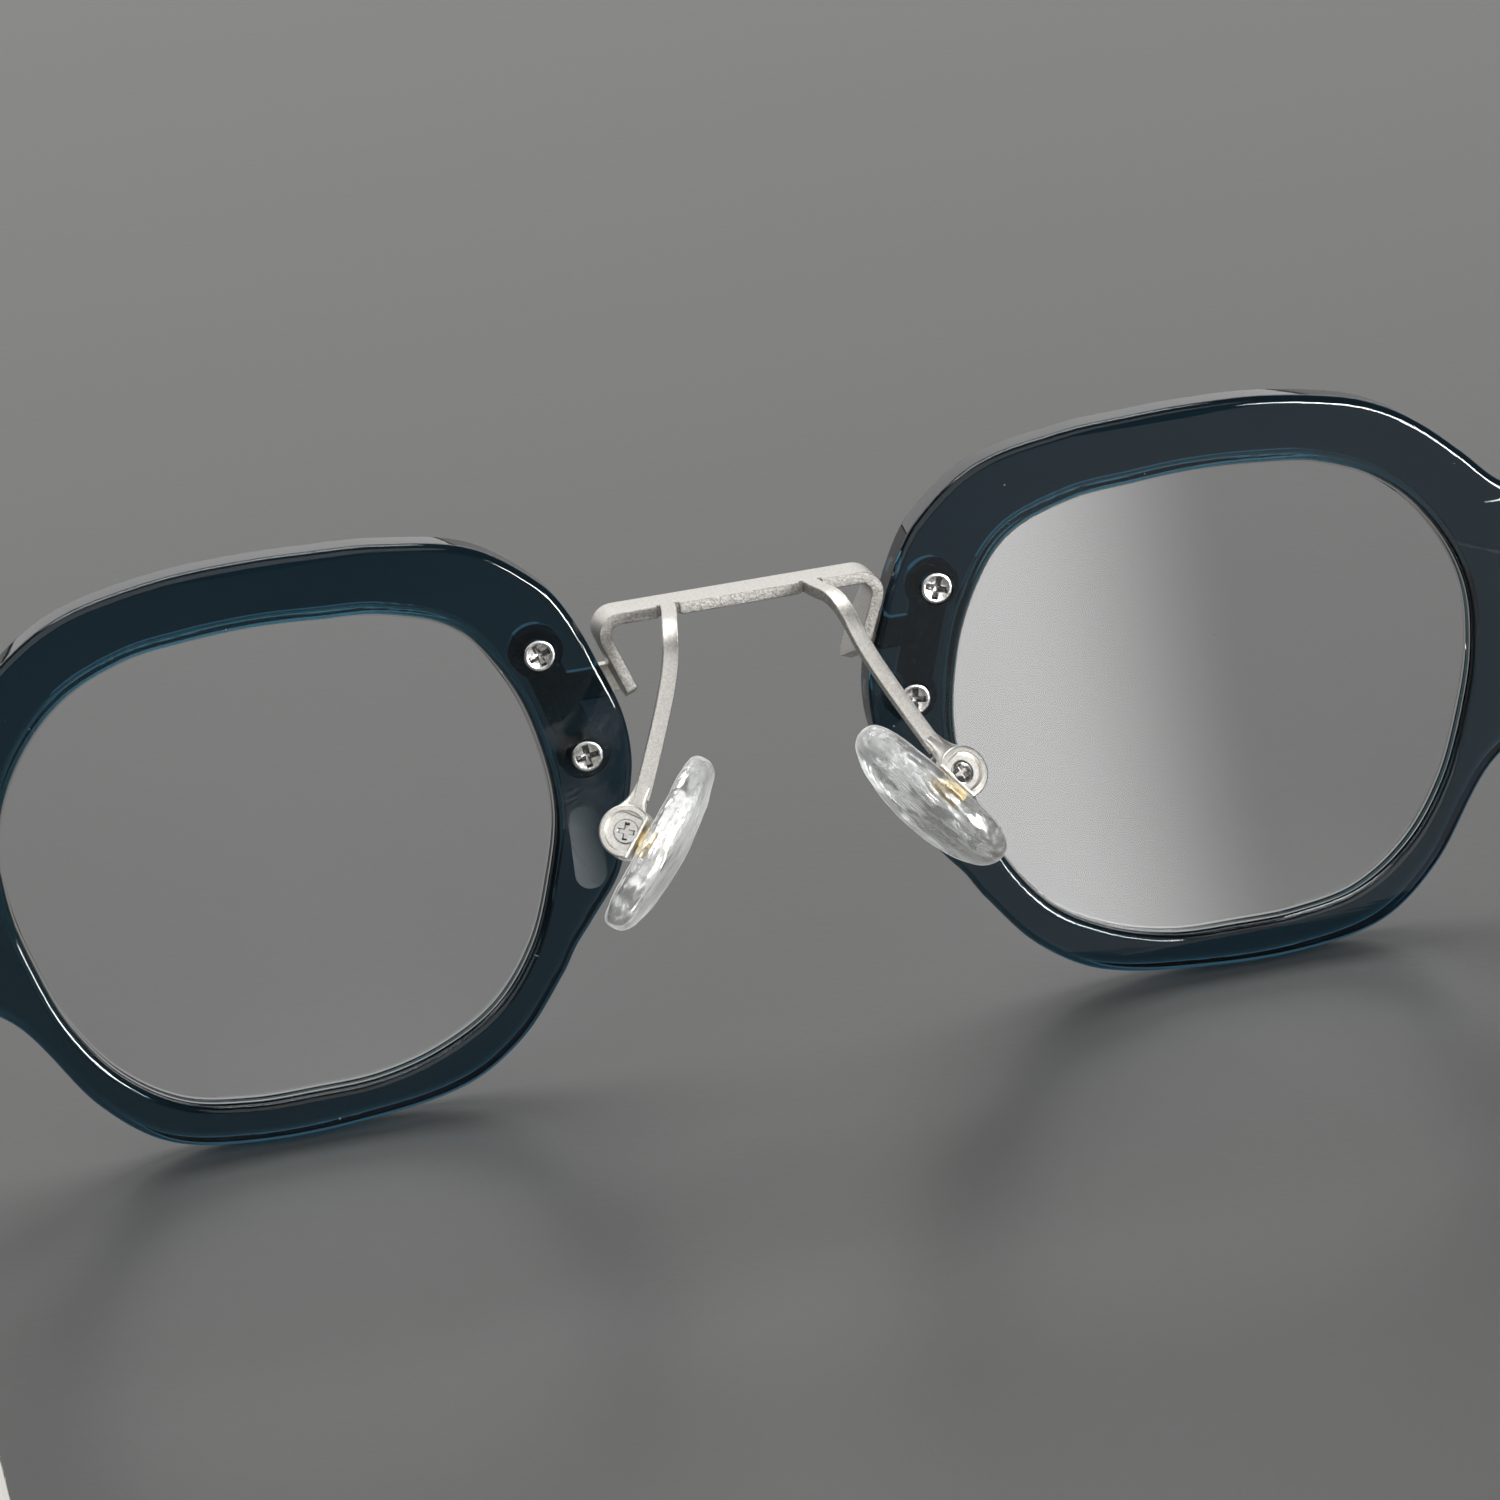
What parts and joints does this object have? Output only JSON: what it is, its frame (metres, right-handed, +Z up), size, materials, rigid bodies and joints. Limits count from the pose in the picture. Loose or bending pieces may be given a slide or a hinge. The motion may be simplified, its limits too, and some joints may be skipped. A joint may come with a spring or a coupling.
{
  "type": "eyeglasses",
  "caption": "Square eyeglasses: thick translucent teal acetate rims joined by a bent sheet-titanium bridge with nose pads on arms, and folding metal temples with acetate tips",
  "frame": {"origin": "middle of the bounding box in plan, on the surface that the eyeglasses stand on", "axes": "+Z up, +Y from the wearer towards the front of the lenses, +X to the wearer's right"},
  "size_m": [0.1304, 0.146, 0.0416],
  "materials": {
    "teal_acetate": "polished translucent acetate, dark teal, lighter where it is thin",
    "clear_lens": "clear moulded lens, polished",
    "satin_titanium": "warm pale satin titanium with gritty cut edges",
    "polished_titanium": "pale titanium, fine satin",
    "screw_steel": "bright turned steel",
    "gold_insert": "gold plated",
    "clear_silicone": "clear silicone, slightly rippled"
  },
  "bodies": {
    "front": {"rim_left": "teal_acetate", "rim_right": "teal_acetate", "lens_left": "clear_lens", "lens_right": "clear_lens", "bridge": "satin_titanium", "bridge_plate_left": "satin_titanium", "bridge_plate_right": "satin_titanium", "bridge_screws_left": "screw_steel", "bridge_screws_right": "screw_steel", "pad_box_left": "satin_titanium", "pad_box_right": "satin_titanium", "pad_screw_left": "screw_steel", "pad_screw_right": "screw_steel", "end_piece_left": "satin_titanium", "end_piece_right": "satin_titanium", "end_screws_left": "screw_steel", "end_screws_right": "screw_steel", "front_hinge_left": "satin_titanium", "front_hinge_right": "satin_titanium", "hinge_screw_left": "screw_steel", "hinge_screw_right": "screw_steel"},
    "temple_arm_left": {"temple_hinge_left": "satin_titanium", "temple_left": "polished_titanium", "temple_tip_left": "teal_acetate"},
    "pad_left": {"nose_pad_left": "clear_silicone", "pad_insert_left": "gold_insert"},
    "temple_arm_right": {"temple_hinge_right": "satin_titanium", "temple_right": "polished_titanium", "temple_tip_right": "teal_acetate"},
    "pad_right": {"nose_pad_right": "clear_silicone", "pad_insert_right": "gold_insert"}
  },
  "joints": [
    {"name": "temple_fold_left", "type": "hinge", "parent": "front", "child": "temple_arm_left", "pos_m": [-0.0619, 0.06365, 0.02258], "axis": [0, 0.1629, 0.9866], "range_deg": [0, 90]},
    {"name": "temple_fold_right", "type": "hinge", "parent": "front", "child": "temple_arm_right", "pos_m": [0.0619, 0.06365, 0.02258], "axis": [0, -0.1629, -0.9866], "range_deg": [0, 87]},
    {"name": "pad_rock_left", "type": "hinge", "parent": "front", "child": "pad_left", "pos_m": [-0.01202, 0.05414, 0.02403], "axis": [0.2851, 0.8012, -0.5261], "range_deg": [-8, 8]},
    {"name": "pad_rock_right", "type": "hinge", "parent": "front", "child": "pad_right", "pos_m": [0.01202, 0.05414, 0.02403], "axis": [-0.2851, 0.8012, -0.5261], "range_deg": [-8, 8]}
  ]
}
